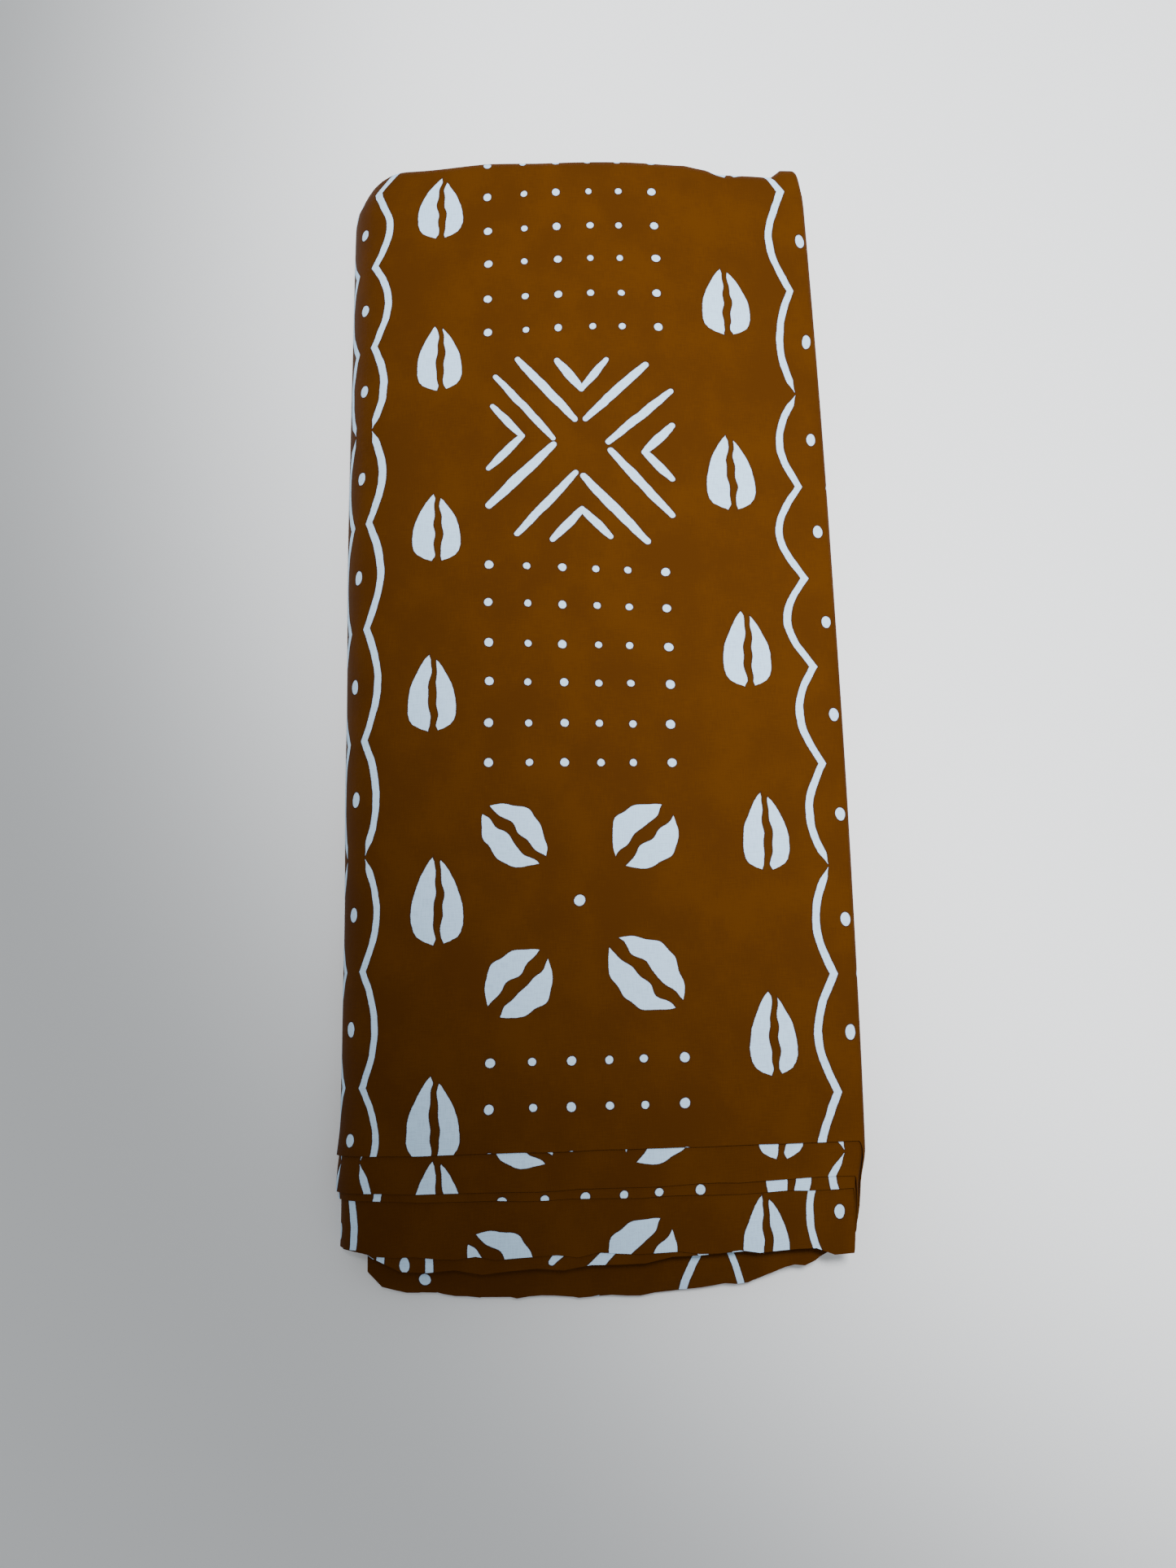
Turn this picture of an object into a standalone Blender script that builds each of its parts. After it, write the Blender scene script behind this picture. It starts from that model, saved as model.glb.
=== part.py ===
"""Folded wax print cloth: one cut length of printed cotton, folded into a flat bundle.

Metres, +Z up. The bundle lies on z = 0 with its length along Y and its width along X.
The cloth was folded back and forth into a stack of panels, the stack was folded crosswise
so that its fold is the far end (+Y), and then lengthwise so that its fold is the left side
(-X). The panels' own folds are the right side (+X), and the selvedges are the near end (-Y).

Layer numbers count the panels outwards, from 0 inside the far fold to 6 around it. Each
panel passes through the bundle on two sides of the far fold: "top" is the side that meets
the bundle's outer faces, and "under" is the side that meets its middle.
"""

import math
from collections import namedtuple

import bmesh
import bpy

# Sheet and stack
SHEET_THICKNESS = 0.0010
LAYER_PITCH = 0.00135
OUTER_LAYER = 6
INNER_RADIUS = LAYER_PITCH / 2
OUTER_RADIUS = INNER_RADIUS + OUTER_LAYER * LAYER_PITCH
FAR_FOLD_HEIGHT = OUTER_RADIUS + LAYER_PITCH / 2
BUNDLE_HEIGHT = 4 * FAR_FOLD_HEIGHT - LAYER_PITCH + SHEET_THICKNESS

# Places of the folds
RIGHT_SIDE_X = 0.1273
LEFT_FOLD_X = -0.1063
FAR_FOLD_Y = 0.3013
NEST_CENTRE_LAYER = 3.5
NEST_X = RIGHT_SIDE_X - (OUTER_LAYER - NEST_CENTRE_LAYER) * LAYER_PITCH - SHEET_THICKNESS / 2

# The layout's point over which the middle of the settled bundle's box lies
BOX_MIDDLE = (-0.00072, -0.00219)

# Order in which the cloth passes through the panels, from the cut end at the lower right
PANEL_ORDER = (4, 3, 2, 5, 6, 1, 0)
CUT_END_X = {4: 0.1218, 0: 0.1198}

# Right-hand folds of the lower half, which lie less evenly than the nested ones above
LowerFold = namedtuple("LowerFold", "inner outer edge_x")
LOWER_FOLDS = [
    LowerFold(inner=2, outer=3, edge_x=0.1233),
    LowerFold(inner=5, outer=6, edge_x=0.1255),
    LowerFold(inner=0, outer=1, edge_x=0.1245),
]

# Selvedges at the near end: y of each layer's edge at these x, from the left side to the right
EDGE_X = (-0.118, -0.096, -0.050, 0.010, 0.060, 0.103, 0.123)
Selvedge = namedtuple("Selvedge", "side layer far_left left mid_left middle mid_right right far_right")
SELVEDGES = [
    Selvedge("top", 6, -0.2427, -0.2426, -0.2422, -0.2415, -0.2409, -0.2403, -0.2400),
    Selvedge("top", 5, -0.2598, -0.2602, -0.2602, -0.2592, -0.2580, -0.2566, -0.2560),
    Selvedge("top", 4, -0.2632, -0.2640, -0.2643, -0.2640, -0.2634, -0.2624, -0.2620),
    Selvedge("top", 3, -0.2862, -0.2894, -0.2905, -0.2897, -0.2903, -0.2886, -0.2890),
    Selvedge("top", 2, -0.2860, -0.2955, -0.2972, -0.2945, -0.2905, -0.2862, -0.2840),
    Selvedge("top", 1, -0.2850, -0.2945, -0.2960, -0.2938, -0.2900, -0.2860, -0.2835),
    Selvedge("top", 0, -0.2840, -0.2930, -0.2950, -0.2930, -0.2895, -0.2855, -0.2830),
    Selvedge("under", 0, -0.2780, -0.2820, -0.2830, -0.2820, -0.2805, -0.2780, -0.2760),
    Selvedge("under", 1, -0.2770, -0.2800, -0.2815, -0.2800, -0.2790, -0.2770, -0.2750),
    Selvedge("under", 2, -0.2760, -0.2790, -0.2800, -0.2790, -0.2780, -0.2760, -0.2740),
    Selvedge("under", 3, -0.2750, -0.2770, -0.2780, -0.2775, -0.2765, -0.2750, -0.2730),
    Selvedge("under", 4, -0.2850, -0.2920, -0.2940, -0.2930, -0.2890, -0.2850, -0.2830),
    Selvedge("under", 5, -0.2860, -0.2935, -0.2955, -0.2940, -0.2900, -0.2860, -0.2840),
    Selvedge("under", 6, -0.2890, -0.3074, -0.3112, -0.3120, -0.3080, -0.2978, -0.2875),
]

# Crown: the middle is fuller than the sides and, less so, than the ends
HALF_WIDTH = 0.1280
HALF_LENGTH = 0.3120
CROWN = 0.12
CROWN_FADE = 0.45
CROWN_FADE_Y = (0.10, 0.31)

# Near end: pressed flatter, and the parts of the layers that hang free of the layer below droop
NEAR_SQUEEZE = 0.08
NEAR_SQUEEZE_Y = (-0.19, -0.29)
Droop = namedtuple("Droop", "y drop")
DROOP = [
    Droop(-0.2435, 0.0),
    Droop(-0.2605, 0.0011),
    Droop(-0.2645, 0.0015),
    Droop(-0.2800, 0.0030),
    Droop(-0.2905, 0.0035),
    Droop(-0.2985, 0.0045),
    Droop(-0.3120, 0.0112),
]

# Left side: the upper layers lean back from the lower ones, and the side is drawn in towards the
# near end
LEAN = 0.34
LEAN_X = (0.08, LEFT_FOLD_X)
LEFT_SIDE_X = (-0.098, -0.120)
Side = namedtuple("Side", "y inwards")
LEFT_SIDE = [
    Side(0.1000, 0.0),
    Side(-0.0400, 0.0018),
    Side(-0.1400, 0.0032),
    Side(-0.2250, 0.0036),
    Side(-0.2600, 0.0008),
    Side(-0.3120, 0.0),
]

# Right side: it bows out, and is drawn in near the near end
RIGHT_BOW = 0.0036
RIGHT_BOW_X = (0.0, 0.11)
RIGHT_BOW_Y = 0.05
NEAR_RIGHT_PULL = 0.0026
NEAR_RIGHT_Y = (-0.243, -0.262)
RIGHT_CORNER_X = (0.085, 0.118)

# Far end: it bows out, with a dent to the right of its middle, and its corners are drawn in
FAR_ARCH = 0.0060
FAR_ARCH_X = (0.0, 0.118)
FAR_ARCH_Y = (0.05, 0.295)
FAR_DENT_Y = (0.215, 0.298)
Dent = namedtuple("Dent", "x back")
FAR_DENT = [
    Dent(-0.0600, 0.0),
    Dent(-0.0180, 0.0024),
    Dent(0.0250, 0.0018),
    Dent(0.0600, 0.0030),
    Dent(0.0680, 0.0046),
    Dent(0.0800, 0.0082),
    Dent(0.1030, 0.0080),
    Dent(0.1110, 0.0086),
    Dent(0.1180, 0.0035),
]
FAR_LEFT_Y = (0.285, 0.312)
FAR_LEFT_PULL = 0.0090
FAR_LEFT_X = (-0.055, -0.105)
FAR_RIGHT_Y = (0.285, 0.312)
FAR_RIGHT_PULL = 0.0026

# Mesh divisions
FACE_STEPS = 5
SIDE_FOLD_STEPS = 7
LOOP_STEPS = (4, 5, 6)
STRETCH_Y = (0.265, 0.090, -0.080, -0.225)
NEAR_STEPS = 3
FAR_FOLD_STEPS = 5

PRINT_OCHRE = (0.147, 0.041, 0.0012, 1.0)
CLOTH_ROUGHNESS = 0.85

Station = namedtuple("Station", "part layer place other")


def smooth_step(value, start, end):
    """0 before start, 1 past end, with a soft change between. End may be the lower of the two."""
    t = min(max((value - start) / (end - start), 0.0), 1.0)
    return t * t * (3.0 - 2.0 * t)


def along_table(place, rows):
    """Second column of a table at a place along its first, which rises or falls, softly between rows."""
    falling = rows[0][0] > rows[-1][0]
    if (place >= rows[0][0]) == falling:
        return rows[0][1]
    for here, there in zip(rows, rows[1:]):
        if (place >= there[0]) == falling:
            return here[1] + (there[1] - here[1]) * smooth_step(place, here[0], there[0])
    return rows[-1][1]


def lower_edge_x(layer):
    for fold in LOWER_FOLDS:
        if layer in (fold.inner, fold.outer):
            return fold.edge_x - LAYER_PITCH / 2 - SHEET_THICKNESS / 2
    return CUT_END_X[layer]


def upper_edge_x(layer):
    return CUT_END_X[0] if layer == 0 else NEST_X


def panel_stations(layer, upwards):
    """Stations of one panel from its lower right end round the left fold to its upper right end."""
    lower = [Station("lower", layer, 1.0 - i / FACE_STEPS, layer) for i in range(FACE_STEPS)]
    fold = [Station("side", layer, 1.0 - i / SIDE_FOLD_STEPS, layer) for i in range(SIDE_FOLD_STEPS)]
    upper = [Station("upper", layer, i / FACE_STEPS, layer) for i in range(FACE_STEPS + 1)]
    whole = lower + fold + upper
    return whole if upwards else whole[::-1]


def loop_stations(part, layer, other):
    """Stations inside the fold that joins two panels on the right side."""
    steps = LOOP_STEPS[(abs(other - layer) - 1) // 2]
    return [Station(part, layer, i / steps, other) for i in range(1, steps)]


def cloth_stations():
    """All stations along the cloth's length, from one cut end to the other."""
    stations = []
    upwards = True
    for number, layer in enumerate(PANEL_ORDER):
        stations += panel_stations(layer, upwards)
        if number + 1 < len(PANEL_ORDER):
            part = "upper loop" if upwards else "lower loop"
            stations += loop_stations(part, layer, PANEL_ORDER[number + 1])
        upwards = not upwards
    return stations


def loop_layer(station):
    """Fractional layer number at a station, which swings over between the joined panels in a loop."""
    if not station.part.endswith("loop"):
        return station.layer
    middle = (station.layer + station.other) / 2
    return middle + (station.layer - station.other) / 2 * math.cos(math.pi * station.place)


def side_point(station, height):
    """x and z of a station at a height in the stack before its lengthwise fold."""
    radius = (LAYER_PITCH - SHEET_THICKNESS) / 2 + height
    middle = BUNDLE_HEIGHT / 2
    if station.part == "side":
        angle = math.pi * station.place
        return LEFT_FOLD_X - radius * math.sin(angle), middle + radius * math.cos(angle)
    if station.part.endswith("loop"):
        upper = station.part == "upper loop"
        edge = upper_edge_x(station.layer) if upper else lower_edge_x(station.layer)
        reach = abs(station.layer - station.other) * LAYER_PITCH / 2
        x = edge + reach * math.sin(math.pi * station.place)
    else:
        upper = station.part == "upper"
        edge = upper_edge_x(station.layer) if upper else lower_edge_x(station.layer)
        x = LEFT_FOLD_X + (edge - LEFT_FOLD_X) * station.place
    return x, middle + radius if upper else middle - radius


def selvedge_y(side, layer, x):
    """y of one layer's selvedge at x."""
    row = next(row for row in SELVEDGES if row.side == side and row.layer == layer)
    places = row[2:]
    if x <= EDGE_X[0]:
        return places[0]
    for i in range(len(EDGE_X) - 1):
        if x <= EDGE_X[i + 1]:
            share = smooth_step(x, EDGE_X[i], EDGE_X[i + 1])
            return places[i] + (places[i + 1] - places[i]) * share
    return places[-1]


def near_edge(side, station, x):
    """y of the selvedge at a station, which slants from one layer's edge to the other's in a loop."""
    here = selvedge_y(side, station.layer, x)
    if station.layer == station.other:
        return here
    there = selvedge_y(side, station.other, x)
    return here + (there - here) * smooth_step(station.place, 0.0, 1.0)


def straight_run(side, station, height):
    """(height, y) from the far fold to the near edge, without the point on the fold itself."""
    x, _ = side_point(station, height)
    edge = near_edge(side, station, x)
    last = STRETCH_Y[-1]
    near = [last + (edge - last) * (i + 1) / NEAR_STEPS for i in range(NEAR_STEPS)]
    return [(height, y) for y in STRETCH_Y + tuple(near)]


def cross_line(station):
    """(height, y) of the points from the top selvedge over the far fold to the under selvedge."""
    radius = INNER_RADIUS + loop_layer(station) * LAYER_PITCH
    middle = FAR_FOLD_HEIGHT - LAYER_PITCH / 2 + SHEET_THICKNESS / 2
    bend = []
    for i in range(FAR_FOLD_STEPS + 1):
        angle = math.pi * i / FAR_FOLD_STEPS
        bend.append((middle + radius * math.cos(angle), FAR_FOLD_Y + radius * math.sin(angle)))
    top = straight_run("top", station, middle + radius)
    under = straight_run("under", station, middle - radius)
    return top[::-1] + bend + under


def settle(x, y, z):
    """Moves a point of the exact folds to where the bundle's own weight and handling left it."""
    floor = SHEET_THICKNESS / 2
    across = min(abs(x) / HALF_WIDTH, 1.0)
    along = 1.0 - CROWN_FADE * smooth_step(abs(y), *CROWN_FADE_Y)
    swell = 1.0 + CROWN * (1.0 - across ** 2) * along
    squeeze = 1.0 - NEAR_SQUEEZE * smooth_step(y, *NEAR_SQUEEZE_Y)
    z = floor + (z - floor) * swell * squeeze
    x -= LEAN * (BUNDLE_HEIGHT - z) * smooth_step(x, *LEAN_X)
    z -= along_table(y, DROOP)
    right_pull = FAR_RIGHT_PULL * smooth_step(y, *FAR_RIGHT_Y) + NEAR_RIGHT_PULL * smooth_step(y, *NEAR_RIGHT_Y)
    y_back = FAR_ARCH * smooth_step(y, *FAR_ARCH_Y) * smooth_step(abs(x), *FAR_ARCH_X)
    y_back += along_table(x, FAR_DENT) * smooth_step(y, *FAR_DENT_Y)
    x += RIGHT_BOW * (1.0 - ((y - RIGHT_BOW_Y) / HALF_LENGTH) ** 2) * smooth_step(x, *RIGHT_BOW_X)
    x -= right_pull * smooth_step(x, *RIGHT_CORNER_X)
    x += FAR_LEFT_PULL * smooth_step(y, *FAR_LEFT_Y) * smooth_step(x, *FAR_LEFT_X)
    x += along_table(y, LEFT_SIDE) * smooth_step(x, *LEFT_SIDE_X)
    return x - BOX_MIDDLE[0], y - y_back - BOX_MIDDLE[1], z


def folded_sheet():
    """The cloth's middle surface: a flat grid moved into its folds."""
    stations = cloth_stations()
    lines = [cross_line(station) for station in stations]
    columns, rows = len(stations), len(lines[0])
    mesh = bpy.data.meshes.new("folded_cloth")
    sheet = bmesh.new()
    bmesh.ops.create_grid(sheet, x_segments=columns - 1, y_segments=rows - 1, size=1.0)
    for vert in sheet.verts:
        column = round((vert.co.x + 1.0) / 2.0 * (columns - 1))
        row = round((vert.co.y + 1.0) / 2.0 * (rows - 1))
        height, y = lines[column][row]
        x, z = side_point(stations[column], height)
        vert.co = settle(x, y, z)
    sheet.to_mesh(mesh)
    sheet.free()
    mesh.shade_smooth()
    return mesh


def cloth_material():
    material = bpy.data.materials.new("printed_cotton")
    material.use_nodes = True
    shader = material.node_tree.nodes["Principled BSDF"]
    shader.inputs["Base Color"].default_value = PRINT_OCHRE
    shader.inputs["Roughness"].default_value = CLOTH_ROUGHNESS
    shader.inputs["Metallic"].default_value = 0.0
    return material


def main():
    for old in list(bpy.data.objects):
        bpy.data.objects.remove(old)
    collection = bpy.data.collections.new("folded wax print fabric")
    bpy.context.scene.collection.children.link(collection)
    mesh = folded_sheet()
    mesh.materials.append(cloth_material())
    cloth = bpy.data.objects.new("folded_cloth", mesh)
    collection.objects.link(cloth)
    shell = cloth.modifiers.new("thickness", "SOLIDIFY")
    shell.thickness = SHEET_THICKNESS
    shell.offset = 0.0
    shell.use_even_offset = True
    shell.use_quality_normals = True


main()
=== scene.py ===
"""The folded wax print cloth: the printed cotton on its folds, with floor, light and camera.

Metres, +Z up. The cloth lies on z = 0, its far fold at +Y, its lengthwise fold at -X, the
panels' folds at +X and the stepped selvedges at -Y. Layers are numbered outwards, from 0 inside
the far fold to 6 around it. "top" is the side of the far fold that meets the bundle's outer
faces, and "under" is the side that meets its middle. The print is laid out in centimetres.
"""

import math
from collections import namedtuple

import bpy
import numpy as np
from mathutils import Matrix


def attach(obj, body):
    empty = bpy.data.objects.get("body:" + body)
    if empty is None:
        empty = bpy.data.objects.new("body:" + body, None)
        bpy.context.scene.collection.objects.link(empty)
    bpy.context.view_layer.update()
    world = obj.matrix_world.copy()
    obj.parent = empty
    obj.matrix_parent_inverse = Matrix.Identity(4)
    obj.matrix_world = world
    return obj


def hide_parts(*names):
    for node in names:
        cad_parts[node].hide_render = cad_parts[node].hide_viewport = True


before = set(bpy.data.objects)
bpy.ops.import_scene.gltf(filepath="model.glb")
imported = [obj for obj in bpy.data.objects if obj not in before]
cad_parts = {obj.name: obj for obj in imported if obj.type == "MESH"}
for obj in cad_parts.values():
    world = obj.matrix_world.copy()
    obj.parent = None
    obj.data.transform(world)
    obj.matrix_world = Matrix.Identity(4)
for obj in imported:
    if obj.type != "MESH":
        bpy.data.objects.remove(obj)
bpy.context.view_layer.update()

# Sheet and stack: the solid's sheet and layers, and the thinner cloth
SOLID_THICKNESS = 0.0010
CLOTH_THICKNESS = 0.00045
LAYER_PITCH = 0.00135
OUTER_LAYER = 6
INNER_RADIUS = LAYER_PITCH / 2
OUTER_RADIUS = INNER_RADIUS + OUTER_LAYER * LAYER_PITCH
FAR_FOLD_HEIGHT = OUTER_RADIUS + LAYER_PITCH / 2
BUNDLE_HEIGHT = 4 * FAR_FOLD_HEIGHT - LAYER_PITCH + SOLID_THICKNESS

# Places of the folds
RIGHT_SIDE_X = 0.1273
LEFT_FOLD_X = -0.1063
FAR_FOLD_Y = 0.3013
NEST_CENTRE_LAYER = 3.5
NEST_X = RIGHT_SIDE_X - (OUTER_LAYER - NEST_CENTRE_LAYER) * LAYER_PITCH - SOLID_THICKNESS / 2

# The layout's point over which the middle of the settled bundle's box lies
BOX_MIDDLE = (-0.00072, -0.00219)

# Panels in the order that the cloth passes through them, with the steps along their faces and
# where their print lies: its shift across and along the bundle and how far it is turned, and the
# shifts for the near half of the panel's under side
Panel = namedtuple("Panel", "layer lower_steps upper_steps print_x print_y turn under_x under_y")
PANELS = [
    Panel(4, 10, 20, 0.0063, -0.0630, 0.030, 0.0, 0.0),
    Panel(3, 10, 24, -0.0055, -0.2008, 0.080, 0.0, 0.0),
    Panel(2, 10, 18, 0.0300, 0.1000, 0.0, 0.0, 0.0),
    Panel(5, 10, 24, 0.0020, -0.1423, 0.043, 0.0, 0.0),
    Panel(6, 14, 40, 0.0, 0.0, 0.0, 0.1781, 0.1641),
    Panel(1, 10, 14, 0.0300, -0.0500, 0.0, 0.0, 0.0),
    Panel(0, 10, 14, 0.0100, 0.1000, 0.0, 0.0, 0.0),
]
PANEL_OF = {panel.layer: panel for panel in PANELS}
UNDER_PRINT_CHANGE_Y = 0.0

# Cut ends of the cloth, by layer
CUT_END_X = {4: 0.1218, 0: 0.1198}

# Right-hand folds of the lower half, which lie less evenly than the nested ones above
LowerFold = namedtuple("LowerFold", "inner outer edge_x")
LOWER_FOLDS = [
    LowerFold(inner=2, outer=3, edge_x=0.1233),
    LowerFold(inner=5, outer=6, edge_x=0.1255),
    LowerFold(inner=0, outer=1, edge_x=0.1245),
]

# Selvedges at the near end: y of each layer's edge at these x, from the left side to the right
EDGE_X = (-0.118, -0.096, -0.050, 0.010, 0.060, 0.103, 0.123)
Selvedge = namedtuple(
    "Selvedge", "side layer far_left left mid_left middle mid_right right far_right")
SELVEDGES = [
    Selvedge("top", 6, -0.2427, -0.2426, -0.2422, -0.2415, -0.2409, -0.2403, -0.2400),
    Selvedge("top", 5, -0.2598, -0.2602, -0.2602, -0.2592, -0.2580, -0.2566, -0.2560),
    Selvedge("top", 4, -0.2632, -0.2640, -0.2643, -0.2640, -0.2634, -0.2624, -0.2620),
    Selvedge("top", 3, -0.2862, -0.2894, -0.2905, -0.2897, -0.2903, -0.2893, -0.2925),
    Selvedge("top", 2, -0.2860, -0.2955, -0.2972, -0.2945, -0.2905, -0.2862, -0.2840),
    Selvedge("top", 1, -0.2850, -0.2945, -0.2960, -0.2938, -0.2900, -0.2860, -0.2835),
    Selvedge("top", 0, -0.2840, -0.2930, -0.2950, -0.2930, -0.2895, -0.2855, -0.2830),
    Selvedge("under", 0, -0.2780, -0.2820, -0.2830, -0.2820, -0.2805, -0.2780, -0.2760),
    Selvedge("under", 1, -0.2770, -0.2800, -0.2815, -0.2800, -0.2790, -0.2770, -0.2750),
    Selvedge("under", 2, -0.2760, -0.2790, -0.2800, -0.2790, -0.2780, -0.2760, -0.2740),
    Selvedge("under", 3, -0.2750, -0.2770, -0.2780, -0.2775, -0.2765, -0.2750, -0.2730),
    Selvedge("under", 4, -0.2850, -0.2920, -0.2940, -0.2930, -0.2890, -0.2850, -0.2830),
    Selvedge("under", 5, -0.2860, -0.2935, -0.2955, -0.2940, -0.2900, -0.2860, -0.2840),
    Selvedge("under", 6, -0.2890, -0.3074, -0.3112, -0.3120, -0.3080, -0.2978, -0.2875),
]

# Small waves of the selvedges: how far they swing, how long one wave is, and its phase
EdgeWave = namedtuple("EdgeWave", "side layer swing length phase")
EDGE_WAVES = [
    EdgeWave("top", 6, 0.00012, 0.061, 0.4),
    EdgeWave("top", 5, 0.00018, 0.052, 1.7),
    EdgeWave("top", 4, 0.00022, 0.047, 2.9),
    EdgeWave("top", 3, 0.00070, 0.031, 0.9),
    EdgeWave("top", 2, 0.00080, 0.034, 2.2),
    EdgeWave("under", 6, 0.00065, 0.027, 0.3),
]
# Each is made up of these, with their swing and number of waves as shares of its own
EdgePart = namedtuple("EdgePart", "swing number phase")
EDGE_WAVE_PARTS = [EdgePart(1.0, 1.0, 0.0), EdgePart(0.6, 1.73, 1.0), EdgePart(0.35, 3.1, 0.0)]

# Crown: the middle is fuller than the sides and, less so, than the ends
HALF_WIDTH = 0.1280
HALF_LENGTH = 0.3120
CROWN = 0.12
CROWN_FADE = 0.45
CROWN_FADE_Y = (0.10, 0.31)

# Near end: pressed flatter, and the parts of the layers that hang free of the layer below droop
NEAR_SQUEEZE = 0.08
NEAR_SQUEEZE_Y = (-0.19, -0.29)
Droop = namedtuple("Droop", "y drop")
DROOP = [
    Droop(-0.2435, 0.0),
    Droop(-0.2605, 0.0011),
    Droop(-0.2645, 0.0015),
    Droop(-0.2800, 0.0030),
    Droop(-0.2905, 0.0035),
    Droop(-0.2985, 0.0045),
    Droop(-0.3120, 0.0112),
]

# Left side: the upper layers lean back from the lower ones, and the side is drawn in towards the
# near end
LEAN = 0.34
LEAN_X = (0.08, LEFT_FOLD_X)
LEFT_SIDE_X = (-0.098, -0.120)
Side = namedtuple("Side", "y inwards")
LEFT_SIDE = [
    Side(0.1000, 0.0),
    Side(-0.0400, 0.0018),
    Side(-0.1400, 0.0032),
    Side(-0.2250, 0.0036),
    Side(-0.2600, 0.0008),
    Side(-0.3120, 0.0),
]

# Right side: it bows out, and is drawn in near the near end
RIGHT_BOW = 0.0036
RIGHT_BOW_X = (0.0, 0.11)
RIGHT_BOW_Y = 0.05
NEAR_RIGHT_PULL = 0.0026
NEAR_RIGHT_Y = (-0.243, -0.262)
RIGHT_CORNER_X = (0.085, 0.118)

# Far end: it bows out, with a dent to the right of its middle, and its corners are drawn in
FAR_ARCH = 0.0060
FAR_ARCH_X = (0.0, 0.118)
FAR_ARCH_Y = (0.05, 0.295)
FAR_DENT_Y = (0.215, 0.298)
Dent = namedtuple("Dent", "x back")
FAR_DENT = [
    Dent(-0.0600, 0.0),
    Dent(-0.0180, 0.0024),
    Dent(0.0250, 0.0018),
    Dent(0.0600, 0.0030),
    Dent(0.0680, 0.0046),
    Dent(0.0800, 0.0082),
    Dent(0.1030, 0.0080),
    Dent(0.1110, 0.0086),
    Dent(0.1180, 0.0035),
]
FAR_LEFT_Y = (0.285, 0.312)
FAR_LEFT_PULL = 0.0090
FAR_LEFT_X = (-0.055, -0.105)
FAR_RIGHT_Y = (0.285, 0.312)
FAR_RIGHT_PULL = 0.0026

# Softness of the lie: broad hollows of the whole bundle, and each layer's own small waves, which
# fade out in the lowest layers. Each is a product of two waves, given by their turns across and
# along in radians a metre, their phase, and what each layer adds to it.
Wave = namedtuple("Wave", "across along phase by_layer")
Hollow = namedtuple("Hollow", "share first second")
HOLLOW_DEPTH = 0.0005
HOLLOWS = [
    Hollow(1.0, Wave(23.0, 4.0, 0.6, 0.0), Wave(-3.0, 11.0, 1.1, 0.0)),
    Hollow(0.6, Wave(47.0, -9.0, 0.0, 0.0), Wave(0.0, 19.0, 2.0, 0.0)),
]
LAYER_WAVE_HEIGHT = 0.00016
LAYER_WAVES = (Wave(61.0, 7.0, 0.0, 2.3), Wave(0.0, 29.0, 0.0, 1.9))
LAYER_WAVE_FADE = 0.25

# Mesh divisions: round the folds, and along the faces from the far fold to the near end, whose
# rows follow the selvedges from NEAR_ZONE_Y on
SIDE_FOLD_STEPS = 14
LOOP_STEPS = (7, 9, 11)
TOP_ROWS_FAR = (0.2965, 0.2900, 0.2830, 0.2750, 0.2650, 0.2530)
UNDER_ROWS_FAR = (0.2950, 0.2860, 0.2740, 0.2580)
NEAR_ZONE_Y = -0.2150
TOP_MIDDLE_STEPS = 35
UNDER_MIDDLE_STEPS = 22
TOP_NEAR_STEPS = 16
UNDER_NEAR_STEPS = 14
FAR_FOLD_STEPS = 16

# Edges that turn more than this are drawn sharp
SHARP_ANGLE = math.radians(50)

# How much lower the thin cloth lies than the middle of the thicker solid
CLOTH_DROP = (SOLID_THICKNESS - CLOTH_THICKNESS) / 2

Station = namedtuple("Station", "part layer place other")


def smooth_step(value, start, end):
    """0 before start, 1 past end, with a soft change between. End may be the lower of the two."""
    t = min(max((value - start) / (end - start), 0.0), 1.0)
    return t * t * (3.0 - 2.0 * t)


def along_table(place, rows):
    """A table's second column at a place along its first, which rises or falls, soft between."""
    falling = rows[0][0] > rows[-1][0]
    if (place >= rows[0][0]) == falling:
        return rows[0][1]
    for here, there in zip(rows, rows[1:]):
        if (place >= there[0]) == falling:
            return here[1] + (there[1] - here[1]) * smooth_step(place, here[0], there[0])
    return rows[-1][1]


def lower_edge_x(layer):
    for fold in LOWER_FOLDS:
        if layer in (fold.inner, fold.outer):
            return fold.edge_x - LAYER_PITCH / 2 - SOLID_THICKNESS / 2
    return CUT_END_X[layer]


def upper_edge_x(layer):
    return CUT_END_X[0] if layer == 0 else NEST_X


def panel_stations(panel, upwards):
    """Stations of one panel from its lower right end round the left fold to its upper right end."""
    layer, low, high = panel.layer, panel.lower_steps, panel.upper_steps
    bend = SIDE_FOLD_STEPS
    lower = [Station("lower", layer, 1.0 - i / low, layer) for i in range(low)]
    fold = [Station("side", layer, 1.0 - i / bend, layer) for i in range(bend)]
    upper = [Station("upper", layer, i / high, layer) for i in range(high + 1)]
    whole = lower + fold + upper
    return whole if upwards else whole[::-1]


def loop_stations(part, layer, other):
    """Stations inside the fold that joins two panels on the right side."""
    steps = LOOP_STEPS[(abs(other - layer) - 1) // 2]
    return [Station(part, layer, i / steps, other) for i in range(1, steps)]


def cloth_stations():
    """All stations along the cloth's length, from one cut end to the other."""
    stations = []
    upwards = True
    for number, panel in enumerate(PANELS):
        stations += panel_stations(panel, upwards)
        if number + 1 < len(PANELS):
            part = "upper loop" if upwards else "lower loop"
            stations += loop_stations(part, panel.layer, PANELS[number + 1].layer)
        upwards = not upwards
    return stations


def loop_layer(station):
    """Layer number at a station, which swings over between the joined panels in a loop."""
    if not station.part.endswith("loop"):
        return station.layer
    middle = (station.layer + station.other) / 2
    return middle + (station.layer - station.other) / 2 * math.cos(math.pi * station.place)


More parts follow.
